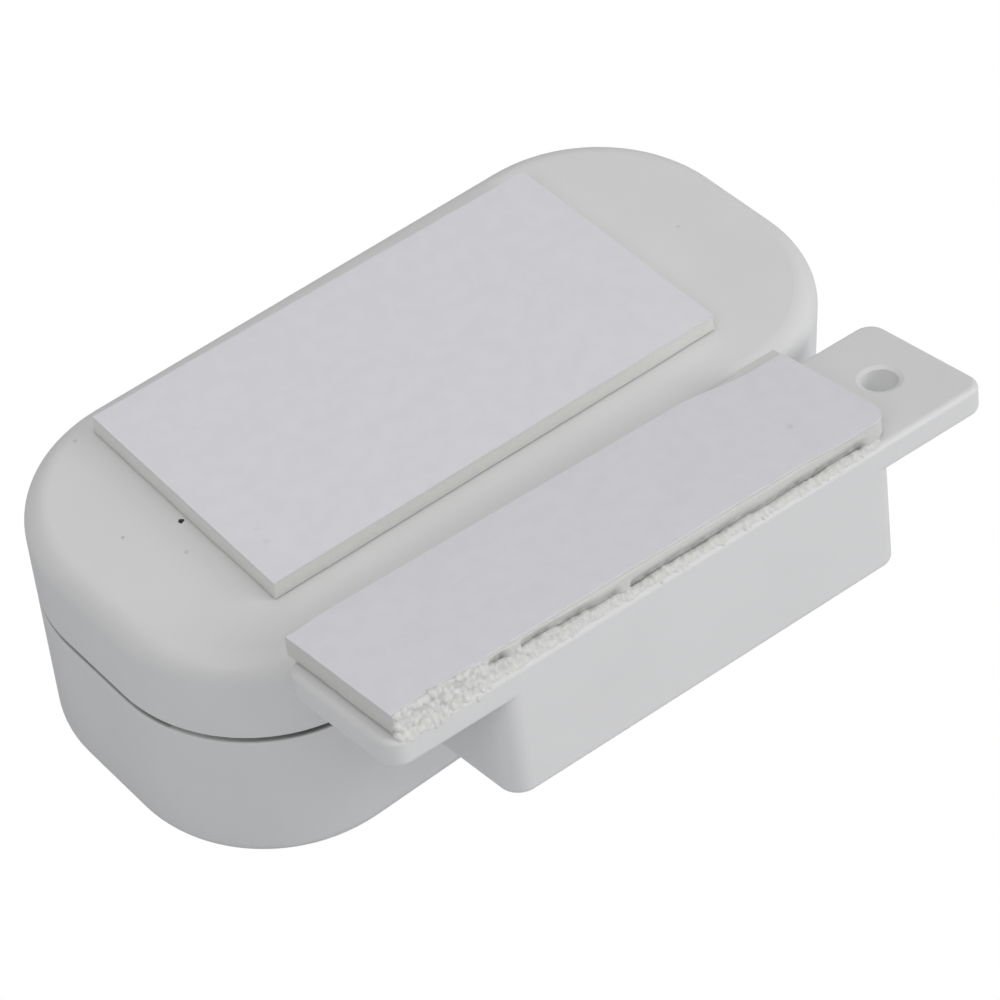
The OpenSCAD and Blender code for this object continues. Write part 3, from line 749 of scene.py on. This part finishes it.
def store_groove_shade(made):
    """Stores on every vertex how much painted shade lies there: streaks along the groove, none elsewhere."""
    layer = made.data.attributes.new("dust_and_shade", "FLOAT", "POINT")
    into_unit = UNIT.matrix.inverted()
    for vertex, stored in zip(made.data.vertices, layer.data):
        x, y, z = (into_unit @ vertex.co) / MM
        across = z - groove_height(x)
        near = ease(across, -0.4, -0.1) * ease(across, 0.4, 0.05)
        near *= ease(y, TAPE_LOW[1] + 1.2, TAPE_LOW[1] + 0.7)
        streaks = 0.32 + 0.5 * ripple((x, 0, 2 * z), 0.5, 31)
        stored.value = near * max(0, streaks) * ease(groove_depth(x), 0.05, 0.3)


def tape_foam():
    """Foam of the magnet's tape, cut back below the groove and worn at its ends."""
    film, recess, radius = 0.12, 0.46, 0.2
    xs, ys = cuts(TAPE_LOW[0], TAPE_HIGH[0], 0.25), cuts(TAPE_LOW[1], TAPE_HIGH[1], 0.25)
    zs = [0, film, film + 0.03] + cuts(0.2, TAPE_HIGH[2], 0.075)

    def shape(point, out):
        x, y, z = point
        spread = 0.04 * ripple(point, 3, 11) + 0.02 * ripple(point, 0.6, 12)
        if out[1] < 0:
            centre, depth = groove_height(x), groove_depth(x)
            spread -= depth * ease(z, centre + 0.95, centre)
            spread -= (recess - depth) * ease(z, centre - 0.1, centre - 0.5)
        if out[1] > 0:
            spread += 0.08 * ripple((x, 0, 0), 5, 15) - 0.25 * ease(x, 11.5, 12.5) * ease(x, 15.6, 15)
        if z < film + 0.01:
            spread = -0.3 - recess * (out[1] < 0)
        a, b = rounded_corner(TAPE_LOW[1] + radius - y, z - (TAPE_HIGH[2] - radius), radius)
        y, z = TAPE_LOW[1] + radius - a, TAPE_HIGH[2] - radius + b
        x, y = worn_corner(x + out[0] * spread, y + out[1] * spread)
        lift = 0.1 * ease(x, TAPE_LOW[0] + 4, TAPE_LOW[0]) * ease(z, 1.2, 0)
        return x, y, z + lift + 0.01 * (out[2] < 0)

    material = foam("tape_foam", (0.73, 0.73, 0.71))
    made = new_object("tape_foam", [block(UNIT, xs, ys, zs, shape)], material, "magnet_unit", 50)
    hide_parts("magnet_tape_foam")
    store_groove_shade(made)


def tape_outline(x, y):
    """The tape's liner stops a little short of the foam along both long edges."""
    across = (y - TAPE_LOW[1]) / (TAPE_HIGH[1] - TAPE_LOW[1])
    return worn_corner(x, y + front_gap(x) * (1 - across) - back_gap(x) * across)


def remeshed(made, voxel):
    """Merges the overlapping parts of a mesh into one skin and smooths it a little."""
    modifier = made.modifiers.new("skin", "REMESH")
    modifier.mode = "VOXEL"
    modifier.voxel_size = voxel
    worn = made.modifiers.new("worn", "SMOOTH")
    worn.iterations = 3
    graph = bpy.context.evaluated_depsgraph_get()
    skin = bpy.data.meshes.new_from_object(made.evaluated_get(graph))
    made.modifiers.clear()
    made.data = skin
    skin.shade_smooth()


def blob(place, centre, radius):
    """Small irregular lump."""
    sphere = bmesh.new()
    bmesh.ops.create_icosphere(sphere, subdivisions=2, radius=1)
    points = []
    for vertex in sphere.verts:
        swell = 1 + 0.35 * ripple(vertex.co * 2 + Vector(centre), 1.6, 20)
        points.append(place.at(*(Vector(centre) + vertex.co * radius * swell)))
    faces = [[v.index for v in face.verts] for face in sphere.faces]
    sphere.free()
    return points, faces


def tape_residue():
    """Band of crushed foam and glue below the groove: high at the left end, a thin bead at the right."""
    draw = np.random.default_rng(11)
    pitch, parts = 0.3, []

    def lump(x, z, radius, out):
        hang = 0.35 * ease(z, 0.3, -0.3)
        y = TAPE_LOW[1] + 0.28 - hang - out + 0.07 * ripple((x, 0, z), 1.0, 22)
        end = ease(x, TAPE_HIGH[0] - 1.5, TAPE_HIGH[0] - 0.2)
        parts.append(blob(UNIT, (x - 0.3 * end, y + 0.8 * end, z), radius))

    for x in cuts(TAPE_LOW[0] + 0.3, TAPE_HIGH[0] - 0.3, pitch):
        torn = ease(x, *TORN)
        foot = -0.42 + 0.22 * ease(x, 3, 9) + 0.12 * ripple((x, 0, 0), 1.3, 23)
        top = groove_height(x) - 0.38 + 0.55 * torn + 0.45 * ease(groove_depth(x), 0.1, 0)
        for z in cuts(foot, max(foot + 0.1, top), pitch):
            lump(x, z, 0.26 + 0.05 * ripple((x, 0, z), 0.8, 21), draw.uniform(-0.06, 0.06))
        for _ in range(4 + round(5 * torn)):
            z = draw.uniform(foot - 0.1, top + 0.1)
            aside = draw.uniform(-0.2, 0.2)
            radius = draw.uniform(0.1, 0.24) + 0.12 * torn
            lump(x + aside, z, radius, draw.uniform(0.02, 0.2))
    glue = torn_adhesive("residue", (0.775, 0.775, 0.752))
    made = new_object("tape_residue", parts, glue, None)
    remeshed(made, 0.075 * MM)
    store_groove_shade(made)
    assign(made, glue)
    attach(made, "magnet_unit")


tape_foam()
tape_residue()
liner_sheet("tape_liner", UNIT, "magnet_tape_liner", tape_outline)


# -------- cells and springs

def cell(node, sign):
    """Dry cell: a printed film shrunk over the can's rims, a bare base, a seal ring and a raised button."""
    low, high = ROW.box(node)
    radius = (high[1] - low[1]) / 2 - 0.02
    length = high[0] - low[0]
    shoulder = length - 1.2
    start = low[0] if sign > 0 else high[0]
    origin = Vector((start, (low[1] + high[1]) / 2, (low[2] + high[2]) / 2)) * MM
    place = Place(origin, (sign, 0, 0), (0, 0, 1))
    front = ((0.14, 1.05), (0.10, 0.75), (0.16, 0.42), (0.42, 0.12), (0.75, 0))
    back = ((0.75, 0), (0.45, 0.1), (0.2, 0.4), (0.16, 0.8), (0.22, 1.1))
    film = [(x, radius - inset) for x, inset in front]
    film += [(x, radius - 0.015 * (i % 2)) for i, x in enumerate(cuts(1.2, shoulder - 1.2, 2.0))]
    film += [(shoulder - before, radius - inset) for before, inset in back]
    base = [(0.06, 1.2), (0.03, 1.6), (0.0, 2.0), (0.0, radius - 1.5), (0.05, radius - 1.2),
            (0.3, radius - 1.1)]
    ring = ((0.5, radius - 1.2), (0.12, radius - 1.25), (0.05, radius - 1.5), (0.12, 2.6), (0.5, 2.5))
    seal = [(shoulder - before, reach) for before, reach in ring]
    foot = ((0.5, 2.75), (0.1, 2.75), (0.02, 2.5), (-0.08, 2.05), (-0.3, 1.85))
    tip = ((0.25, 1.78), (0.06, 1.6), (0, 1.3), (0, 0.4))
    button = [(shoulder - before, reach) for before, reach in foot]
    button += [(length - before, reach) for before, reach in tip]
    ink = cell_film("cell_wrap_" + node[-1], sign)
    wrap = new_object(node + "_film", [lathe(place, film, 64)], ink, node, 35)
    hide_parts(node)
    ends = [lathe(place, profile, 48) for profile in (base, button)]
    new_object(node + "_can", ends, MATERIALS["contact_nickel"], node, 30)
    new_object(node + "_seal", [lathe(place, seal, 48)], MATERIALS["dark_plastic"], node, 30)


def springs():
    """Two conical springs of round wire that start at the plate, with their turns a little closer near both
    ends.
    """
    parts = []
    wire, turns, base_r, tip_r = 0.25, 4, 3.4, 2.0
    rise, steps = 3.71 - 2 * wire, 36 * turns
    low, _ = ROW.box("battery_springs")
    cell_low, cell_high = ROW.box("battery_a")
    middle = (cell_low + cell_high) / 2
    for sign in (1, -1):
        path = []
        for i in range(steps + 1):
            t = i / steps
            angle = 2 * math.pi * turns * t
            radius = base_r + (tip_r - base_r) * t
            x = sign * (low[0] + wire + rise * (0.4 * ease(t, 0, 1) + 0.6 * t))
            y = sign * middle[1] + radius * math.cos(angle)
            path.append(ROW.at(x, y, middle[2] + radius * math.sin(angle)))
        parts.append(tube(path, wire * MM, 10))
    made = new_object("springs", parts, MATERIALS["contact_nickel"], "sensor_front")
    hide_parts("battery_springs")


cell("battery_a", 1)
cell("battery_b", -1)
springs()


# -------- board details

BOARD_TOP = ROW.box("main_board")[1][2]
SAME_POINT = 0.001 * MM    # CAD vertices closer than this are one corner


def on_board(name, parts, material, sharp):
    """Piece that rides with the sensor's front shell, as the board does."""
    return new_object(name, parts, MATERIALS[material], "sensor_front", sharp)


def upright(x, y, z):
    """A place whose X axis points up, for turned parts that stand on the board."""
    return Place(Vector((x, y, z)) * MM, (0, 0, 1), (1, 0, 0))


def solder():
    """Solder cones round the reed switch's leads and rings of bare copper round the screw heads."""
    low, high = ROW.box("reed_lead")
    joint = [(0, 0.85), (0.03, 0.84), (0.1, 0.66), (0.24, 0.45), (0.45, 0.34), (0.6, 0.28), (0.62, 0.2)]
    middle = (low[1] + high[1]) / 2
    ends = [(low[0] + 0.25, middle), (-low[0] - 0.25, middle)]
    cones = [lathe(upright(x, y, BOARD_TOP), joint, 32) for x, y in ends]
    on_board("solder", cones, "shield_steel", 40)
    low, high = ROW.box("board_screws")
    x, y = high[0] - 1.9, high[1] - 1.9
    ring = [(0, 2.5), (0.03, 2.5), (0.045, 2.45), (0.045, 0.6)]
    rings = [lathe(upright(sign * x, sign * y, BOARD_TOP), ring, 48) for sign in (1, -1)]
    on_board("ground_rings", rings, "copper", 30)


def ribbon(path, width):
    """Flat copper track over the board along a path of (x, y) points."""
    points, faces, height = [], [], 0.045
    for i, (x, y) in enumerate(path):
        ahead = Vector(path[min(i + 1, len(path) - 1)]) - Vector(path[max(i - 1, 0)])
        side = Vector((-ahead.y, ahead.x)).normalized() * width / 2
        for a, z in ((1, 0), (0.8, height), (-0.8, height), (-1, 0)):
            points.append(ROW.at(x + a * side.x, y + a * side.y, BOARD_TOP - 0.01 + z))
    for i in range(len(path) - 1):
        faces += band(4 * i, 4 * i + 4, 4)
    last = 4 * (len(path) - 1)
    return points, faces + [(3, 2, 1, 0), (last, last + 1, last + 2, last + 3)]


def tracks():
    """Tracks that run in bundles along both long edges and round the switches, with via rings between."""
    parts, wide, narrow = [], 0.18, 0.16
    for k in range(4):
        y = 12.25 + 0.4 * k
        parts.append(ribbon([(-25 + k, y), (-16 - k, y), (-15.2 - k, y + 0.5), (-2, y + 0.5)], wide))
        parts.append(ribbon([(11 + k, y), (19 - k, y), (20 - k, y + 0.4), (24.5, y + 0.4)], wide))
        parts.append(ribbon([(-24 + k, -y), (-13, -y), (-12.2, -y - 0.3), (-10, -y - 0.3)], wide))
        parts.append(ribbon([(10.5, -y - 0.3), (15, -y - 0.3), (15.6, -y), (23 - k, -y)], wide))
        for sign in (1, -1):
            x = sign * (26.4 + 0.35 * k)
            path = [(x, -sign * 6.4), (x, -sign * 4.0), (x + sign * 0.3, -sign * 3.6)]
            parts.append(ribbon(path, narrow))
    made = on_board("tracks", parts, "board_track", 30)
    via = [(0, 0.3), (0.05, 0.28), (0.055, 0.2), (0.0, 0.16), (-0.05, 0.1)]
    spots = [(-24.6 + 1.9 * k, 14.3) for k in range(5)] + [(11.4 + 2.2 * k, 14.2) for k in range(5)]
    spots += [(-22 + 2.6 * k, -14.3) for k in range(5)] + [(12 + 2.3 * k, -14.3) for k in range(5)]
    vias = [lathe(upright(x, y, BOARD_TOP), via, 16) for x, y in spots]
    on_board("vias", vias, "copper", 30)


def switch_trim(node):
    """Steel cover plate held by four heat stakes, and four gull-wing legs."""
    low, high = ROW.box(node)
    x, y, top = (low[0] + high[0]) / 2, (low[1] + high[1]) / 2, high[2]
    half, hole = (high[0] - low[0]) / 2 - 0.12, 1.85
    points, faces = [], []
    sides, rings = 48, 6
    for level, inset in ((-0.02, 0), (0.1, 0), (0.14, 0.05)):
        for c, s in circle(sides):
            reach = (half - inset) / max(abs(c), abs(s))
            points.append(ROW.at(x + reach * c, y + reach * s, top + level))
    for level, radius in ((0.14, hole + 0.04), (0.1, hole), (-0.02, hole)):
        points += [ROW.at(x + radius * c, y + radius * s, top + level) for c, s in circle(sides)]
    for ring in range(rings):
        faces += band(ring * sides, (ring + 1) % rings * sides, sides)
    bends = ((-0.05, 0.3, 0.45, 0.25), (0.2, 0.45, 0.06, 0.6), (0.35, 1.0, 0.02, 0.22))
    legs, leg_half = [], 0.3
    for side in (1, -1):
        for dx in (-1.3, 1.3):
            edge = y + side * (high[1] - y)
            for near, far, base, rise in bends:
                a, b = sorted((edge + side * near, edge + side * far))
                leg_low = (x + dx - leg_half, a, BOARD_TOP + base)
                leg_high = (x + dx + leg_half, b, BOARD_TOP + base + rise)
                legs.append(round_box(ROW, leg_low, leg_high, 0.06))
    on_board(node + "_trim", [(points, faces)] + legs, "shield_steel", 30)
    stake = [(0, 0.34), (0.06, 0.34), (0.16, 0.28), (0.22, 0.15), (0.23, 0.05)]
    corners = [(x + sx * 1.75, y + sy * 1.75) for sx in (1, -1) for sy in (1, -1)]
    stakes = [lathe(upright(cx, cy, top + 0.12), stake, 20) for cx, cy in corners]
    on_board(node + "_stakes", stakes, "dark_plastic", 40)


def plunger(node, waisted):
    """Moulded plunger: a flange with soft rims, a stem and a domed tip, and on a long stem a waist."""
    low, high = ROW.box(node)
    middle, length = (low + high) / 2, high[2] - low[2]
    points = np.array([vertex.co for vertex in NODES[node].data.vertices]) / MM
    reach = np.hypot(points[:, 0] - middle[0], points[:, 1] - middle[1])
    stem = reach[points[:, 2] > high[2] - 0.01].max()
    flange = reach.max()
    thick = points[reach > flange - 0.01][:, 2].max() - low[2]
    profile = [(0, flange - 0.1), (0.06, flange), (thick - 0.06, flange), (thick, flange - 0.1),
               (thick, stem)]
    if waisted:
        waist = stem - 0.2
        profile += [(length - 3.0, stem), (length - 2.8, waist), (length - 1.6, waist), (length - 1.4, stem)]
    profile += [(length - 0.45, stem), (length - 0.2, stem - 0.1), (length - 0.05, 0.7 * stem)]
    profile += [(length, 0.35 * stem)]
    shaft = lathe(upright(middle[0], middle[1], low[2]), profile, 40)
    made = new_object(node + "_shaft", [shaft], MATERIALS[SLOTS[node]], node, 30)
    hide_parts(node)


def castellations():
    """Plated pads along both long edges of the radio board."""
    low, high = ROW.box("radio_board")
    pads = []
    for x in cuts(low[0] + 1.0, high[0] - 1.0, 1.27):
        for edge, side in ((low[1], -1), (high[1], 1)):
            a, b = sorted((edge + 0.03 * side, edge - 0.6 * side))
            pads.append(round_box(ROW, (x - 0.35, a, low[2] - 0.03), (x + 0.35, b, high[2] - 0.03), 0.03))
    on_board("castellations", pads, "copper", 40)


def islands(node):
    """Boxes of the separate solids of a node, in millimetres."""
    mesh = bmesh.new()
    mesh.from_mesh(NODES[node].data)
    bmesh.ops.remove_doubles(mesh, verts=mesh.verts, dist=SAME_POINT)
    mesh.verts.ensure_lookup_table()
    found, seen = [], set()
    for start in mesh.verts:
        if start.index in seen:
            continue
        seen.add(start.index)
        group, open_ends = [], [start]
        while open_ends:
            vertex = open_ends.pop()
            group.append(vertex.co / MM)
            for link in vertex.link_edges:
                other = link.other_vert(vertex)
                if other.index not in seen:
                    seen.add(other.index)
                    open_ends.append(other)
        corners = np.array(group)
        found.append((corners.min(0), corners.max(0)))
    mesh.free()
    return found


def terminations():
    """Tinned end caps with a solder fillet on every small chip, and bent tabs on the tank capacitor."""
    parts = []
    for low, high in islands("small_chips"):
        axis = 0 if high[0] - low[0] > high[1] - low[1] else 1
        above = low[2] > BOARD_TOP - 0.1
        foot = low[2] if above else high[2]
        for end in (low, high):
            side = 1 if end is high else -1
            cap_low, cap_high = low - 0.02, high + 0.02
            cap_low[axis], cap_high[axis] = sorted((end[axis] + side * 0.03, end[axis] - side * 0.32))
            parts.append(round_box(ROW, cap_low, cap_high, 0.05))
            fillet_low, fillet_high = low + 0.06, high - 0.06
            fillet_low[axis], fillet_high[axis] = sorted((end[axis] - side * 0.1, end[axis] + side * 0.28))
            fillet_low[2], fillet_high[2] = sorted((foot, foot + (0.16 if above else -0.16)))
            parts.append(round_box(ROW, fillet_low, fillet_high, 0.07))
    low, high = ROW.box("tank_capacitor")
    for end, side in ((low, -1), (high, 1)):
        for bottom, reach in ((low[2] + 0.02, 0.28), (low[2] + 0.2, 0.08)):
            a, b = sorted((end[0] + side * reach, end[0] - side * 0.3))
            top = bottom + (0.12 if reach > 0.1 else 0.75)
            parts.append(round_box(ROW, (a, low[1] + 0.3, bottom), (b, high[1] - 0.3, top), 0.05))
    on_board("terminations", parts, "shield_steel", 40)


def softened(node, width):
    """Bevels the edges of a CAD node."""
    weld = NODES[node].modifiers.new("weld", "WELD")
    weld.merge_threshold = SAME_POINT
    bevel = NODES[node].modifiers.new("bevel", "BEVEL")
    bevel.width = width * MM
    bevel.segments = 2
    bevel.limit_method = "ANGLE"
    bevel.angle_limit = math.radians(40)


solder()
tracks()
switch_trim("pairing_switch_case")
switch_trim("tamper_switch_case")
terminations()
castellations()
plunger("pairing_button", False)
plunger("tamper_plunger", True)
BEVELS = {
    0.03: ("reed_blade_moving", "reed_blade_fixed"),
    0.04: ("small_chips",),
    0.05: ("radio_board",),
    0.06: ("status_led", "controller_chip", "main_board"),
    0.08: ("board_screws", "magnet_plate"),
    0.1: ("contact_bridge", "contact_negative", "contact_positive", "crystal"),
    0.12: ("pairing_switch_case", "tamper_switch_case"),
    0.15: ("battery_holder", "shield_can", "tank_capacitor", "bar_magnet"),
}
for bevel_width, bevel_nodes in BEVELS.items():
    for bevel_node in bevel_nodes:
        softened(bevel_node, bevel_width)


# -------- stage, light and camera

def camera():
    """Camera at the photo's viewing angle; the angles and the distance come from the case's outline."""
    azimuth, elevation, roll = (math.radians(a) for a in (-38.19, 45.80, -3.53))
    distance, across, above = 282.16 * MM, 4.64 * MM, 6.06 * MM
    back = Vector((math.sin(azimuth) * math.cos(elevation), -math.cos(azimuth) * math.cos(elevation),
                   math.sin(elevation)))
    right = Vector((math.cos(azimuth), math.sin(azimuth), 0))
    up = back.cross(right)
    right, up = (right * math.cos(roll) + up * math.sin(roll), up * math.cos(roll) - right * math.sin(roll))
    data = bpy.data.cameras.new("camera")
    data.sensor_width = 36
    data.lens = 121.08
    data.clip_start = 0.01
    data.clip_end = 20
    made = shown("camera", data)
    turn = Matrix((right, up, back)).transposed().to_4x4()
    made.matrix_world = Matrix.Translation(back * distance + right * across + up * above) @ turn
    bpy.context.scene.camera = made


def camera_sees(tree, plain, glow, output):
    """Shows the camera the node glow where all other light meets plain."""
    mixed = tree.nodes.new("ShaderNodeMixShader")
    seen = tree.nodes.new("ShaderNodeLightPath").outputs["Is Camera Ray"]
    for source, socket in zip((seen, plain.outputs[0], glow.outputs[0]), mixed.inputs):
        tree.links.new(source, socket)
    tree.links.new(mixed.outputs[0], tree.nodes[output].inputs["Surface"])


def floor():
    """Pale floor that looks plain white to the camera and lights the object as a real one."""
    data = bpy.data.meshes.new("floor")
    half, drop = 3.0, 0.02 * MM
    corners = [(-half, -half, 0), (half, -half, 0), (half, half, 0), (-half, half, 0)]
    data.from_pydata(corners, [], [(0, 1, 2, 3)])
    made = shown("floor", data)
    made.location.z = -drop
    s = Shader("floor", (0.74, 0.75, 0.775), 0.9)
    glow = s.node("ShaderNodeEmission", {"Color": (1, 1, 1, 1), "Strength": 1.0})
    camera_sees(s.tree, s.surface, glow, "Material Output")
    assign(made, s.material)


def world():
    """Soft light from all sides, with a plain white backdrop."""
    ambient = 0.285
    made = bpy.data.worlds.new("studio")
    made.use_nodes = True
    tree = made.node_tree
    light, white = tree.nodes["Background"], tree.nodes.new("ShaderNodeBackground")
    for background, strength in ((light, ambient), (white, 1.0)):
        background.inputs["Color"].default_value = (1, 1, 1, 1)
        background.inputs["Strength"].default_value = strength
    camera_sees(tree, light, white, "World Output")
    bpy.context.scene.world = made


def area_light(name, place, size, power):
    """Square soft light that looks at the object."""
    data = bpy.data.lights.new(name, "AREA")
    data.shape = "SQUARE"
    data.size = size
    data.energy = power
    made = shown(name, data)
    made.location = place
    made.rotation_mode = "QUATERNION"
    made.rotation_quaternion = Vector(place).to_track_quat("Z", "Y")


camera()
floor()
world()
LIGHTS = (("top", (0, 0.1, 0.8), 1.0, 1.72), ("key", (0.42, -0.52, 0.50), 0.5, 1.0),
          ("front", (0.5, -0.5, 0.25), 0.4, 1.4), ("fill", (-0.5, -0.25, 0.55), 0.4, 1.06))
for light in LIGHTS:
    area_light(*light)
bpy.context.scene.view_settings.view_transform = "Standard"
